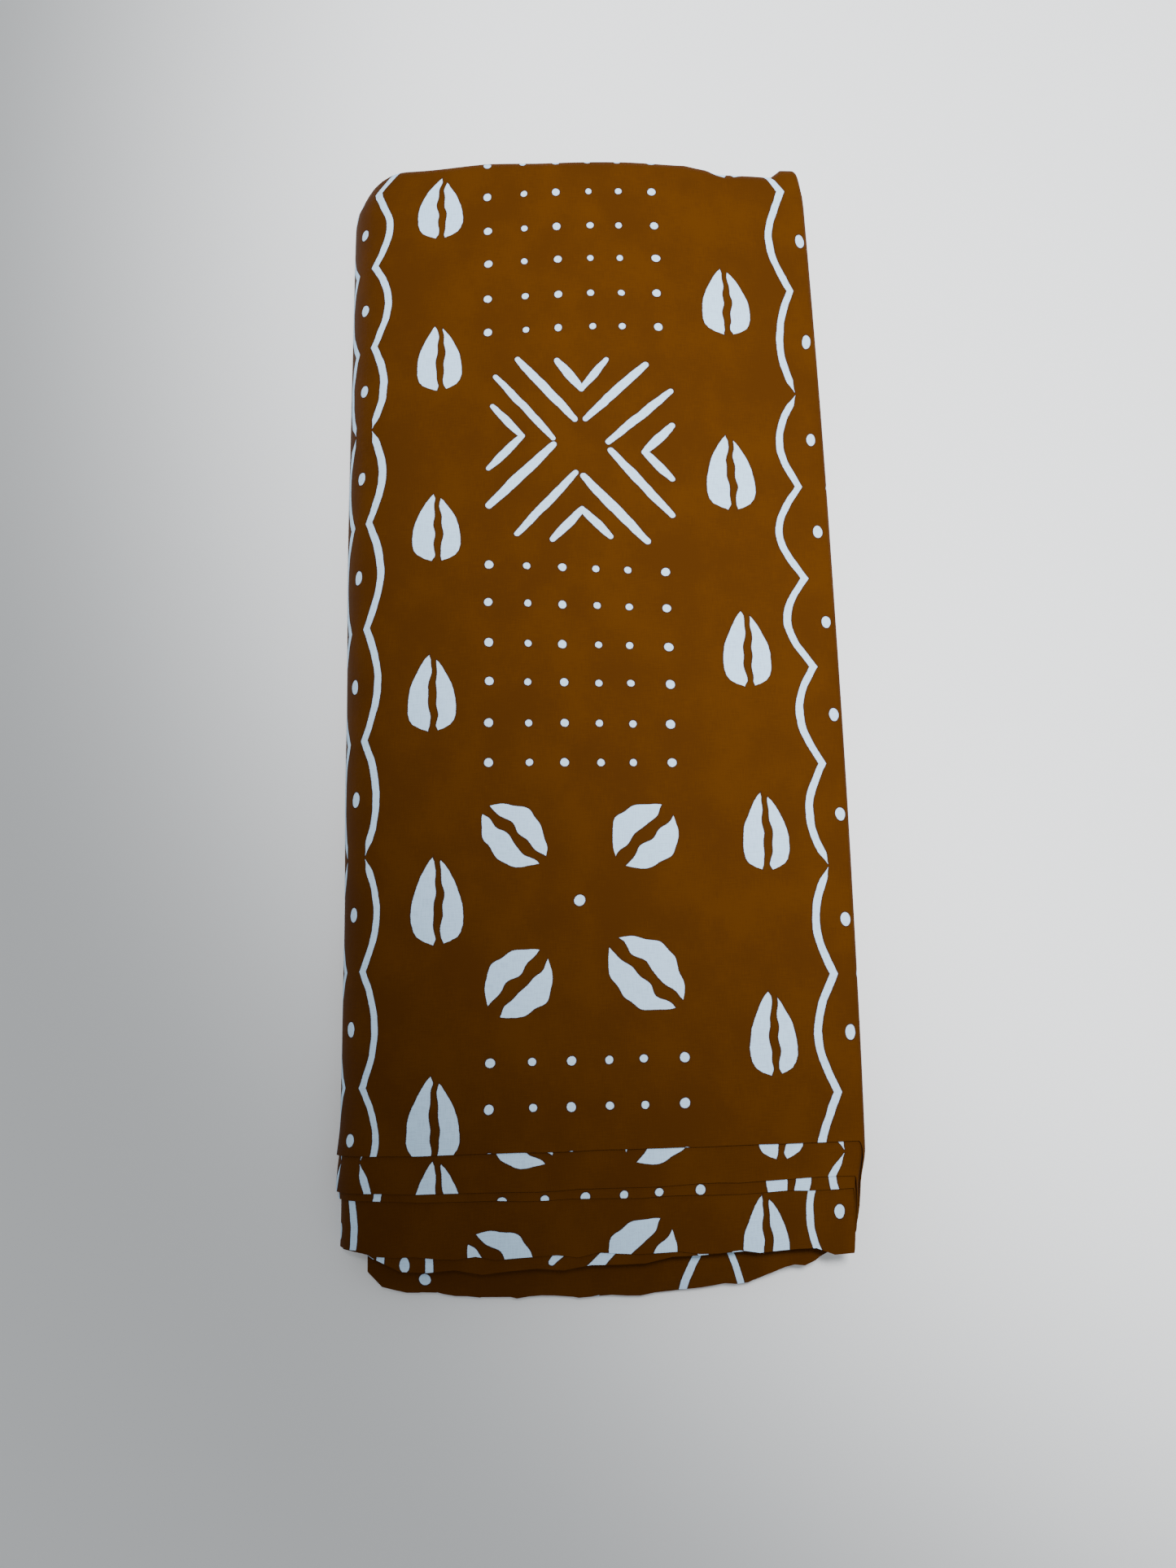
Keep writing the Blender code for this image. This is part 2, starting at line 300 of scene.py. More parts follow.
def fold_radius(height):
    """Radius of the left fold at a height in the stack before it."""
    return (LAYER_PITCH - SOLID_THICKNESS) / 2 + height


def side_point(station, height):
    """x and z of a station at a height in the stack before its lengthwise fold."""
    radius = fold_radius(height)
    middle = BUNDLE_HEIGHT / 2
    if station.part == "side":
        angle = math.pi * station.place
        return LEFT_FOLD_X - radius * math.sin(angle), middle + radius * math.cos(angle)
    upper = station.part.startswith("upper")
    edge = upper_edge_x(station.layer) if upper else lower_edge_x(station.layer)
    if station.part.endswith("loop"):
        reach = abs(station.layer - station.other) * LAYER_PITCH / 2
        x = edge + reach * math.sin(math.pi * station.place)
    else:
        x = LEFT_FOLD_X + (edge - LEFT_FOLD_X) * station.place
    return x, middle + radius if upper else middle - radius


def print_across(owner, station, height):
    """How far across the print a station lies, reckoned along the panel that owns the face."""
    turn = math.pi * fold_radius(height)
    if station.part == "side":
        return LEFT_FOLD_X - turn * station.place
    upper = station.part.startswith("upper")
    edge = upper_edge_x(owner) if upper else lower_edge_x(owner)
    if station.part.endswith("loop"):
        share = station.place if owner == station.layer else 1.0 - station.place
        x = edge + math.pi * abs(station.layer - station.other) * LAYER_PITCH / 2 * share
    else:
        x = LEFT_FOLD_X + (edge - LEFT_FOLD_X) * station.place
    return x if upper else LEFT_FOLD_X - turn - (x - LEFT_FOLD_X)


def selvedge_y(side, layer, x):
    """y of one layer's selvedge at x."""
    row = next(row for row in SELVEDGES if row.side == side and row.layer == layer)
    places = row[2:]
    y = places[-1]
    if x <= EDGE_X[0]:
        y = places[0]
    else:
        for i in range(len(EDGE_X) - 1):
            if x <= EDGE_X[i + 1]:
                share = smooth_step(x, EDGE_X[i], EDGE_X[i + 1])
                y = places[i] + (places[i + 1] - places[i]) * share
                break
    for wave in EDGE_WAVES:
        if wave.side == side and wave.layer == layer:
            turn = 2.0 * math.pi * x / wave.length + wave.phase
            y += wave.swing * sum(part.swing * math.sin(part.number * turn + part.phase)
                                  for part in EDGE_WAVE_PARTS)
    return y


def near_edge(side, station, x):
    """y of the selvedge at a station, which slants between two layers' edges in a loop."""
    here = selvedge_y(side, station.layer, x)
    if station.layer == station.other:
        return here
    there = selvedge_y(side, station.other, x)
    return here + (there - here) * smooth_step(station.place, 0.0, 1.0)


def straight_run(side, station, height):
    """y of the rows from the far fold to the near edge, without the one on the fold itself."""
    far = TOP_ROWS_FAR if side == "top" else UNDER_ROWS_FAR
    middle_steps = TOP_MIDDLE_STEPS if side == "top" else UNDER_MIDDLE_STEPS
    near_steps = TOP_NEAR_STEPS if side == "top" else UNDER_NEAR_STEPS
    x, _ = side_point(station, height)
    edge = near_edge(side, station, x)
    start, end = far[-1], NEAR_ZONE_Y
    middle = [start + (end - start) * (i + 1) / middle_steps for i in range(middle_steps)]
    near = [end + (edge - end) * (i + 1) / near_steps for i in range(near_steps)]
    return list(far) + middle + near


def cross_line(station):
    """(height, y, distance along the print) from the top selvedge round to the under one."""
    radius = INNER_RADIUS + loop_layer(station) * LAYER_PITCH
    middle = FAR_FOLD_HEIGHT - LAYER_PITCH / 2 + SOLID_THICKNESS / 2
    bend = []
    for i in range(FAR_FOLD_STEPS + 1):
        angle = math.pi * i / FAR_FOLD_STEPS
        point = middle + radius * math.cos(angle), FAR_FOLD_Y + radius * math.sin(angle)
        bend.append((*point, FAR_FOLD_Y + radius * angle))
    over, below = middle + radius, middle - radius
    top = [(over, y, y) for y in straight_run("top", station, over)]
    past = 2.0 * FAR_FOLD_Y + math.pi * radius
    under = [(below, y, past - y) for y in straight_run("under", station, below)]
    return top[::-1] + bend + under


def settle(x, y, z):
    """Moves a point of the exact folds to where the bundle's own weight and handling left it."""
    floor = SOLID_THICKNESS / 2
    across = min(abs(x) / HALF_WIDTH, 1.0)
    along = 1.0 - CROWN_FADE * smooth_step(abs(y), *CROWN_FADE_Y)
    swell = 1.0 + CROWN * (1.0 - across ** 2) * along
    squeeze = 1.0 - NEAR_SQUEEZE * smooth_step(y, *NEAR_SQUEEZE_Y)
    z = floor + (z - floor) * swell * squeeze
    x -= LEAN * (BUNDLE_HEIGHT - z) * smooth_step(x, *LEAN_X)
    z -= along_table(y, DROOP)
    right_pull = FAR_RIGHT_PULL * smooth_step(y, *FAR_RIGHT_Y)
    right_pull += NEAR_RIGHT_PULL * smooth_step(y, *NEAR_RIGHT_Y)
    y_back = FAR_ARCH * smooth_step(y, *FAR_ARCH_Y) * smooth_step(abs(x), *FAR_ARCH_X)
    y_back += along_table(x, FAR_DENT) * smooth_step(y, *FAR_DENT_Y)
    x += RIGHT_BOW * (1.0 - ((y - RIGHT_BOW_Y) / HALF_LENGTH) ** 2) * smooth_step(x, *RIGHT_BOW_X)
    x -= right_pull * smooth_step(x, *RIGHT_CORNER_X)
    x += FAR_LEFT_PULL * smooth_step(y, *FAR_LEFT_Y) * smooth_step(x, *FAR_LEFT_X)
    x += along_table(y, LEFT_SIDE) * smooth_step(x, *LEFT_SIDE_X)
    return x - BOX_MIDDLE[0], y - y_back - BOX_MIDDLE[1], z


def wave_at(wave, x, y, layer):
    """Height of a wave, from -1 to 1, at a place on one layer."""
    return math.sin(wave.across * x + wave.by_layer * layer + wave.along * y + wave.phase)


def soften(x, y, z, layer):
    """Adds the broad hollows of the bundle and the small waves of one layer."""
    share = z / BUNDLE_HEIGHT
    hollow = sum(part.share * wave_at(part.first, x, y, layer) * wave_at(part.second, x, y, layer)
                 for part in HOLLOWS)
    wave = math.prod(wave_at(part, x, y, layer) for part in LAYER_WAVES)
    z += HOLLOW_DEPTH * hollow * share
    return x, y, z + LAYER_WAVE_HEIGHT * wave * min(1.0, share / LAYER_WAVE_FADE)


def quad_owner(left, right):
    """The panel whose print a face between two stations carries."""
    for station, next_station in ((left, right), (right, left)):
        if station.part.endswith("loop"):
            middle = station.place
            if next_station.part.endswith("loop"):
                middle = (station.place + next_station.place) / 2
            elif next_station.layer == station.other:
                middle = 1.0
            return station.layer if middle <= 0.5 else station.other
    return left.layer


def cloth_sheet():
    """The cloth's middle surface, with its print laid out in metres on its one UV map."""
    stations = cloth_stations()
    lines = [cross_line(station) for station in stations]
    columns, rows = len(stations), len(lines[0])
    points = []
    for station, line in zip(stations, lines):
        layer = loop_layer(station)
        for height, y, _ in line:
            x, z = side_point(station, height)
            x, y, z = soften(*settle(x, y, z), layer)
            points.append((x, y, z - CLOTH_DROP))
    first_under = rows - UNDER_NEAR_STEPS - UNDER_MIDDLE_STEPS
    faces, prints = [], []
    for i in range(columns - 1):
        owner = quad_owner(stations[i], stations[i + 1])
        panel = PANEL_OF[owner]
        for j in range(rows - 1):
            corners = ((i, j), (i + 1, j), (i + 1, j + 1), (i, j + 1))
            faces.append([column * rows + row for column, row in corners])
            hidden = j >= first_under and lines[i][j][1] < UNDER_PRINT_CHANGE_Y
            shift_x = panel.print_x + (panel.under_x if hidden else 0.0)
            shift_y = panel.print_y + (panel.under_y if hidden else 0.0)
            for column, row in corners:
                station = stations[column]
                height, y, along = lines[column][row]
                x, _ = side_point(station, height)
                dent = along_table(x, FAR_DENT) if station.part.startswith("upper") else 0.0
                beyond = smooth_step(y, *FAR_DENT_Y)
                along -= dent * (beyond if row < first_under else 2.0 - beyond)
                across = print_across(owner, station, height)
                prints += [across - shift_x, along - shift_y - panel.turn * across]
    mesh = bpy.data.meshes.new("wax_print_cloth")
    mesh.from_pydata(points, [], faces)
    layout = mesh.uv_layers.new(name="print_metres")
    layout.data.foreach_set("uv", prints)
    mesh.shade_smooth()
    return mesh


def thick_cloth(material):
    """The cloth as a closed thin sheet."""
    raw = bpy.data.objects.new("wax_print_cloth_middle", cloth_sheet())
    bpy.context.scene.collection.objects.link(raw)
    raw.data.materials.append(material)
    shell = raw.modifiers.new("thickness", "SOLIDIFY")
    shell.thickness = CLOTH_THICKNESS
    shell.offset = 0.0
    shell.use_even_offset = True
    shell.use_quality_normals = True
    solid = raw.evaluated_get(bpy.context.evaluated_depsgraph_get())
    mesh = bpy.data.meshes.new_from_object(solid)
    mesh.name = "wax_print_cloth"
    mesh.set_sharp_from_angle(angle=SHARP_ANGLE)
    bpy.data.objects.remove(raw)
    cloth = bpy.data.objects.new("wax_print_cloth", mesh)
    bpy.context.scene.collection.objects.link(cloth)
    return cloth


class Field:
    """A number worked out at every point of the cloth by the material's nodes."""

    tree = None

    def __init__(self, socket):
        self.socket = socket

    @staticmethod
    def plug(target, value):
        if isinstance(value, Field):
            Field.tree.links.new(value.socket, target)
        else:
            target.default_value = value

    @staticmethod
    def math(operation, *values, clamp=False):
        node = Field.tree.nodes.new("ShaderNodeMath")
        node.operation = operation
        node.use_clamp = clamp
        for target, value in zip(node.inputs, values):
            Field.plug(target, value)
        return Field(node.outputs[0])

    def __add__(self, other):
        return Field.math("ADD", self, other)

    def __radd__(self, other):
        return Field.math("ADD", other, self)

    def __sub__(self, other):
        return Field.math("SUBTRACT", self, other)

    def __rsub__(self, other):
        return Field.math("SUBTRACT", other, self)

    def __mul__(self, other):
        return Field.math("MULTIPLY", self, other)

    def __rmul__(self, other):
        return Field.math("MULTIPLY", other, self)

    def __truediv__(self, other):
        return Field.math("DIVIDE", self, other)


def wrapped(value, half):
    """The value carried back into -half to half."""
    return Field.math("WRAP", value, half, -half)


def least(*values):
    result = values[0]
    for value in values[1:]:
        result = Field.math("MINIMUM", result, value)
    return result


def greatest(*values):
    result = values[0]
    for value in values[1:]:
        result = Field.math("MAXIMUM", result, value)
    return result


def size_of(value):
    return Field.math("ABSOLUTE", value)


def whole(value):
    return Field.math("FLOOR", value)


def sine(value):
    return Field.math("SINE", value)


def rippled(ripple, *places):
    """A small wave whose turning each of the places adds to."""
    phase = ripple.phase
    for place, turns in zip(places, ripple.turns):
        phase = place * turns + phase
    return sine(phase) * ripple.swing


def hypotenuse(a, b):
    return Field.math("SQRT", Field.math("MULTIPLY_ADD", a, a, b * b))


def above(value, limit):
    """1 where the value is over the limit, otherwise 0."""
    return Field.math("GREATER_THAN", value, limit)


def ramp(value, start, end):
    """0 at start, 1 at end, soft between."""
    node = Field.tree.nodes.new("ShaderNodeMapRange")
    node.interpolation_type = "SMOOTHSTEP"
    Field.plug(node.inputs["Value"], value)
    node.inputs["From Min"].default_value = start
    node.inputs["From Max"].default_value = end
    return Field(node.outputs["Result"])


def chosen(pick, off, on):
    """off where pick is 0 and on where it is 1."""
    return Field.math("MULTIPLY_ADD", pick, on - off, off)


def curve(value, points):
    """Straight lines through (place, height) points, both from 0 to 1."""
    node = Field.tree.nodes.new("ShaderNodeFloatCurve")
    Field.plug(node.inputs["Value"], value)
    line = node.mapping.curves[0]
    for place, height in points[1:-1]:
        line.points.new(place, height)
    line.points[0].location = points[0]
    line.points[-1].location = points[-1]
    for point in line.points:
        point.handle_type = "VECTOR"
    node.mapping.update()
    return Field(node.outputs[0])


def noise(u, v, grain):
    """Noise from 0 to 1 with the grain's own scale across and along the cloth."""
    place = Field.tree.nodes.new("ShaderNodeCombineXYZ")
    Field.plug(place.inputs[0], u * grain.across)
    Field.plug(place.inputs[1], v * grain.along + grain.seed)
    node = Field.tree.nodes.new("ShaderNodeTexNoise")
    node.noise_dimensions = "2D"
    node.inputs["Scale"].default_value = 1.0
    node.inputs["Detail"].default_value = grain.detail
    Field.tree.links.new(place.outputs[0], node.inputs["Vector"])
    return Field(node.outputs[0])


# Layout of the print in centimetres. One strip is 25 wide between the middles of its bands of
# dots, and its motifs repeat every 50.5 along it.
STRIP = 25.0
REPEAT = 50.5
CROSS = (-0.27, 12.30)
FLOWER = (-0.80, -12.29)
SECOND_STRIP_SLIP = 11.91

# Small waves of the drawing: how far each swings, its phase, and what the places that it is worked
# out from add to the phase: the way along a slot, and the numbers of the motif
Ripple = namedtuple("Ripple", "swing phase turns")

# Grids of dots: a near one between the cross and the flower, and a far one past the cross. Each
# column has its own shift and size of dots, and the rows slant and fan out a little.
GRID_CENTRE_U = -0.66
GRID_PITCH_U = 1.856
GRID_COLUMN_SHIFTS = (0.0, 0.19, 0.17, 0.15, -0.07, 0.0)
GRID_DOT_RADII = (0.218, 0.178, 0.210, 0.178, 0.180, 0.220)
GRID_ROWS = 6
NEAR_GRID_PITCH_V = 2.117
FAR_GRID_PITCH_V = 2.200
FAR_GRID_SHIFT_U = 0.08
FAR_GRID_SHIFT_V = -0.21
FAR_GRID_SQUEEZE = 0.012
NEAR_GRID_SLANT = 0.049
NEAR_GRID_FAN = 0.0043
FAR_GRID_SLANT = -0.010
GRID_DOT_SHIFT_U = Ripple(0.03, 0.0, (3.7, 1.9))
GRID_DOT_SHIFT_V = Ripple(0.03, 2.0, (6.29, 3.23))

# Bands: where each lobe of the scalloped line begins, from one break in the line to the same
# break again, how far its dot lies from the strip's middle and how far it reaches from the dot
Lobe = namedtuple("Lobe", "start dot_u reach")
LEFT_BAND_START = 14.0
LEFT_BAND_BREAK = 4
LEFT_BAND = [
    Lobe(0.0, 12.14, 1.17),
    Lobe(5.6, 12.27, 1.29),
    Lobe(11.6, 12.50, 1.40),
    Lobe(17.7, 12.30, 1.20),
    Lobe(23.8, 12.43, 1.43),
    Lobe(29.5, 12.48, 1.45),
    Lobe(35.1, 12.30, 1.52),
    Lobe(40.0, 12.17, 1.38),
    Lobe(45.25, 12.09, 1.10),
]
RIGHT_BAND_START = 15.6
RIGHT_BAND_BREAK = 5
RIGHT_BAND = [
    Lobe(0.0, 11.95, 1.72),
    Lobe(5.7, 11.98, 2.10),
    Lobe(11.0, 12.11, 2.05),
    Lobe(15.9, 12.20, 1.76),
    Lobe(21.1, 12.21, 1.55),
    Lobe(26.35, 12.18, 1.48),
    Lobe(31.7, 12.14, 1.58),
    Lobe(37.3, 12.22, 1.76),
    Lobe(43.85, 12.12, 1.45),
]
# The scalloped line: the share of a lobe's reach that is left at its cusps, the slope there, the
# line's width, which swells in the middle of a lobe and tapers towards the breaks, and the dots
CUSP_SHARE = 0.45
CUSP_SLOPE = 0.30
USUAL_LOBE = 5.6
LINE_HALF_WIDTH = 0.165
LINE_SWELL = 0.02
BREAK_TAPER = (0.015, 0.14)
BREAK_HALF_GAP = 0.10
BAND_DOT_RADIUS = 0.30
BAND_DOT_HALF_WIDTH = 0.235
BAND_DOT_HALF_LENGTH = 0.36

# Middles and sizes of the cowries of the left and right columns, from the highest downwards. Each
# lies in a cell of the repeat, which is stretched only past COWRIE_REACH from the middle.
Cowrie = namedtuple("Cowrie", "v u half_length half_width")
LEFT_COWRIES = [
    Cowrie(18.17, -7.96, 2.06, 1.21),
    Cowrie(7.86, -8.05, 1.94, 1.27),
    Cowrie(-1.36, -8.23, 2.05, 1.23),
    Cowrie(-12.10, -7.87, 2.22, 1.28),
    Cowrie(-22.62, -7.95, 1.98, 1.26),
]
RIGHT_COWRIES = [
    Cowrie(21.43, 7.82, 2.12, 1.29),
    Cowrie(10.73, 7.54, 2.23, 1.24),
    Cowrie(0.71, 7.91, 2.08, 1.20),
    Cowrie(-8.94, 8.43, 1.98, 1.14),
    Cowrie(-18.88, 8.40, 2.00, 1.13),
]
COWRIE_CELL = REPEAT / len(LEFT_COWRIES)
COWRIE_REACH = 2.5
# Shares of a cowrie's half width from its blunt end to its tip, and how much of its length the
# right half's tip is short of the left one's
COWRIE_PROFILE = [
    (0.0, 0.16), (0.04, 0.50), (0.09, 0.77), (0.15, 0.91), (0.24, 0.99), (0.34, 1.0), (0.45, 0.97),
    (0.56, 0.90), (0.66, 0.79), (0.77, 0.63), (0.87, 0.45), (0.95, 0.28), (1.0, 0.13),
]
COWRIE_TIP_STEP = 0.06
COWRIE_USUAL_HALF_LENGTH = 2.0
# Their slot: half its width, which swells near the middle and flares at the ends
COWRIE_SLOT = 0.150
COWRIE_SLOT_SHIFT = 0.06
COWRIE_SLOT_SWELL = 0.080
COWRIE_SLOT_SWELL_MIDDLE = -0.3
COWRIE_SLOT_SWELL_FADE = (1.6, 0.4)
COWRIE_SLOT_FLARE = 0.110
COWRIE_SLOT_FLARE_RANGE = (0.84, 1.0)
COWRIE_SLOT_RIPPLES = (Ripple(0.045, 0.0, (2.1, 2.4, 1.3)), Ripple(0.030, 0.0, (5.6, 4.1, 2.2)))

# Strokes of the cross: bars in pairs along the diagonals, and a chevron in each quarter. Each
# stroke swells from its ends, whose half width is a share of the one listed.
STROKE_END_SHARE = 0.66
STROKE_SWELL = 1.5
Stroke = namedtuple("Stroke", "u1 v1 u2 v2 half_width")
STROKES = [
    Stroke(-3.4, 5.4, -0.3, 1.6, 0.24), Stroke(-4.6, 4.4, -1.5, 0.5, 0.20),
    Stroke(3.6, 4.9, 0.3, 1.6, 0.24), Stroke(4.9, 3.3, 1.5, 0.2, 0.23),
    Stroke(-1.5, 0.1, -5.0, -3.3, 0.27), Stroke(-0.3, -1.6, -3.5, -5.0, 0.22),
    Stroke(1.6, -0.3, 4.7, -4.1, 0.23), Stroke(0.1, -1.8, 3.4, -5.6, 0.25),
    Stroke(-1.2, 5.2, 0.1, 3.4, 0.24), Stroke(1.5, 5.2, 0.1, 3.4, 0.20),
    Stroke(-4.8, 2.6, -3.2, 0.7, 0.20), Stroke(-5.0, -1.1, -3.2, 0.7, 0.22),
    Stroke(4.9, 1.2, 3.4, -0.4, 0.24), Stroke(4.8, -2.0, 3.4, -0.4, 0.22),
    Stroke(-1.6, -5.4, 0.0, -3.7, 0.23), Stroke(1.5, -5.3, 0.0, -3.7, 0.21),
]

# Split petals of the flower: how far out along its diagonal each lies, how far it is off the
# diagonal towards the strip's side, its size, and half the width of its slot
Petal = namedtuple("Petal", "out off half_length half_width slot")
PETALS = [
    Petal(4.97, -0.65, 1.95, 1.55, 0.36),
    Petal(4.80, -0.30, 2.25, 1.55, 0.31),
    Petal(4.68, -0.08, 2.02, 1.40, 0.28),
    Petal(4.60, 0.07, 1.85, 1.62, 0.34),
]
PETAL_ROUNDNESS = 0.72
PETAL_RIPPLES = (Ripple(0.06, 0.0, (2.6, 2.1, 3.7)), Ripple(0.04, 0.0, (5.6, 4.83, 8.51)))
PETAL_SLOT_RIPPLE = Ripple(0.05, 0.0, (4.1, 2.73, 4.81))
FLOWER_EYE_RADIUS = 0.270

# A lookup's steps: the share of a step that its ramp to the next takes on each side, and the least
# range that its values are reckoned to have
STEP_MARGIN = 0.04
LEAST_RANGE = 0.001


def spread(values):
    """The lowest of the values and the range that they cover."""
    low = min(values)
    return low, max(max(values) - low, LEAST_RANGE)


def picked(number, values):
    """The value listed for a whole number."""
    low, reach = spread(values)
    points = []
    for i, value in enumerate(values):
        for place in (i + STEP_MARGIN, i + 1 - STEP_MARGIN):
            points.append((place / len(values), (value - low) / reach))
    points[0], points[-1] = (0.0, points[0][1]), (1.0, points[-1][1])
    return curve((number + 0.5) / len(values), points) * reach + low


def rolling(place, values):
    """Values listed round the repeat, joined by straight lines, at a place counted in them."""
    low, reach = spread(values)
    heights = [(value - low) / reach for value in values]
    points = [((i + 0.5) / len(values), height) for i, height in enumerate(heights)]
    end = (heights[0] + heights[-1]) / 2
    return curve(place / len(values), [(0.0, end)] + points + [(1.0, end)]) * reach + low


def cowrie_cells(column, v):
    """How many of a column's cells lie above a place, with a cowrie in the middle of each."""
    start = column[0].v + COWRIE_CELL / 2
    points = [(0.0, 0.0)]
    for number, cowrie in enumerate(column):
        for part in (-COWRIE_REACH, COWRIE_REACH):
            place = (start - cowrie.v + part) / REPEAT
            points.append((place, (number + 0.5 + part / COWRIE_CELL) / len(column)))
    points.append((1.0, 1.0))
    fall = Field.math("FRACT", (start - v) / REPEAT)
    return curve(fall, points) * len(column)


def cowries(u, v):
    """Distance outside the two columns of cowries, each two halves with a wavy slot between."""
    right = above(u, 0.0)
    cell = chosen(right, cowrie_cells(LEFT_COWRIES, v), cowrie_cells(RIGHT_COWRIES, v))
    number = whole(cell)
    middle, half_length, half_width = (
        chosen(right, picked(number, [getattr(cowrie, name) for cowrie in LEFT_COWRIES]),
               picked(number, [getattr(cowrie, name) for cowrie in RIGHT_COWRIES]))
        for name in ("u", "half_length", "half_width"))
    across = u - middle
    along = (0.5 - (cell - number)) * COWRIE_CELL
    side = across - COWRIE_SLOT_SHIFT
    for ripple in COWRIE_SLOT_RIPPLES:
        side = side - rippled(ripple, along, number, right)
    reach = along / half_length
    swell = ramp(size_of(along - COWRIE_SLOT_SWELL_MIDDLE), *COWRIE_SLOT_SWELL_FADE)
    flare = ramp(size_of(reach), *COWRIE_SLOT_FLARE_RANGE)
    slot = COWRIE_SLOT + COWRIE_SLOT_SWELL * swell + COWRIE_SLOT_FLARE * flare
    reach = reach + above(side, 0.0) * (reach + 1.0) * COWRIE_TIP_STEP
    place = Field.math("MULTIPLY_ADD", reach, 0.5, 0.5, clamp=True)
    outline = curve(place, COWRIE_PROFILE) * half_width
    past_end = (size_of(reach) - 1.0) * COWRIE_USUAL_HALF_LENGTH
    return greatest(size_of(across) - outline, slot - size_of(side), past_end)


def flower(u, v):
    """Distance outside the four split petals and the dot between them."""
    du, dv = u - FLOWER[0], v - FLOWER[1]
    right, high = above(du, 0.0), above(dv, 0.0)
    number = right + high * 2.0
    petal_out, off, half_length, half_width, slot = (
        picked(number, [getattr(petal, name) for petal in PETALS]) for name in Petal._fields)
    along = (size_of(du) + size_of(dv)) * math.sqrt(0.5) - petal_out
    across = (size_of(du) - size_of(dv)) * math.sqrt(0.5) - off
    reach = along / half_length
    outline = greatest(1.0 - reach * reach, 0.0)
    outline = Field.math("POWER", outline, PETAL_ROUNDNESS) * half_width
    side = across
    for ripple in PETAL_RIPPLES:
        side = side - rippled(ripple, along, right, high)
    slot = slot + rippled(PETAL_SLOT_RIPPLE, along, right, high)
    petals = greatest(size_of(side) - outline, slot - size_of(side))
    return least(petals, hypotenuse(du, dv) - FLOWER_EYE_RADIUS)


def cross(u, v):
    """Distance outside the strokes of the cross."""
    tree = Field.tree
    place = tree.nodes.new("ShaderNodeCombineXYZ")
    Field.plug(place.inputs[0], u - CROSS[0])
    Field.plug(place.inputs[1], v - CROSS[1])
    nearest = None
    for stroke in STROKES:
        run_u, run_v = stroke.u2 - stroke.u1, stroke.v2 - stroke.v1
        reach = run_u ** 2 + run_v ** 2
        back = tree.nodes.new("ShaderNodeVectorMath")
        back.operation = "SUBTRACT"
        back.inputs[0].default_value = (stroke.u1, stroke.v1, 0.0)
        tree.links.new(place.outputs[0], back.inputs[1])
        project = tree.nodes.new("ShaderNodeVectorMath")
        project.operation = "DOT_PRODUCT"
        tree.links.new(back.outputs[0], project.inputs[0])
        project.inputs[1].default_value = (-run_u / reach, -run_v / reach, 0.0)
        share = Field.math("ADD", Field(project.outputs["Value"]), 0.0, clamp=True)
        offset = tree.nodes.new("ShaderNodeVectorMath")
        offset.operation = "MULTIPLY_ADD"
        offset.inputs[0].default_value = (run_u, run_v, 0.0)
        Field.plug(offset.inputs[1], share)
        tree.links.new(back.outputs[0], offset.inputs[2])
        length = tree.nodes.new("ShaderNodeVectorMath")
        length.operation = "LENGTH"
        tree.links.new(offset.outputs[0], length.inputs[0])
        swell = share * (1.0 - share) * (STROKE_SWELL * stroke.half_width)
        end = STROKE_END_SHARE * stroke.half_width
        distance = Field(length.outputs["Value"]) - swell - end
        nearest = distance if nearest is None else least(nearest, distance)
    return nearest


def dot_grid(u, v):
    """Distance outside the grids of dots between the cross and the flower."""
    columns = len(GRID_COLUMN_SHIFTS)
    quarter = REPEAT / 4
    du, dv = u - GRID_CENTRE_U, wrapped(v, quarter)
    far = above(size_of(v), quarter)
    du = du - far * (FAR_GRID_SHIFT_U + du * FAR_GRID_SQUEEZE)
    near_rows = dv + du * (NEAR_GRID_SLANT + dv * NEAR_GRID_FAN)
    far_rows = dv + du * FAR_GRID_SLANT - FAR_GRID_SHIFT_V
    dv = chosen(far, near_rows, far_rows * (NEAR_GRID_PITCH_V / FAR_GRID_PITCH_V))
    column = whole(du / GRID_PITCH_U + columns / 2)
    row = whole(dv / NEAR_GRID_PITCH_V)
    cell_u = du - (column + (0.5 - columns / 2)) * GRID_PITCH_U - picked(column, GRID_COLUMN_SHIFTS)
    cell_v = dv - (row + 0.5) * NEAR_GRID_PITCH_V
    cell_u = cell_u + rippled(GRID_DOT_SHIFT_U, column, row)
    cell_v = cell_v + rippled(GRID_DOT_SHIFT_V, column, row)
    dots = hypotenuse(cell_u, cell_v) - picked(column, GRID_DOT_RADII)
    past_columns = size_of(du) - GRID_PITCH_U * columns / 2
    past_rows = size_of(dv) - NEAR_GRID_PITCH_V * GRID_ROWS / 2
    return greatest(dots, past_columns, past_rows)


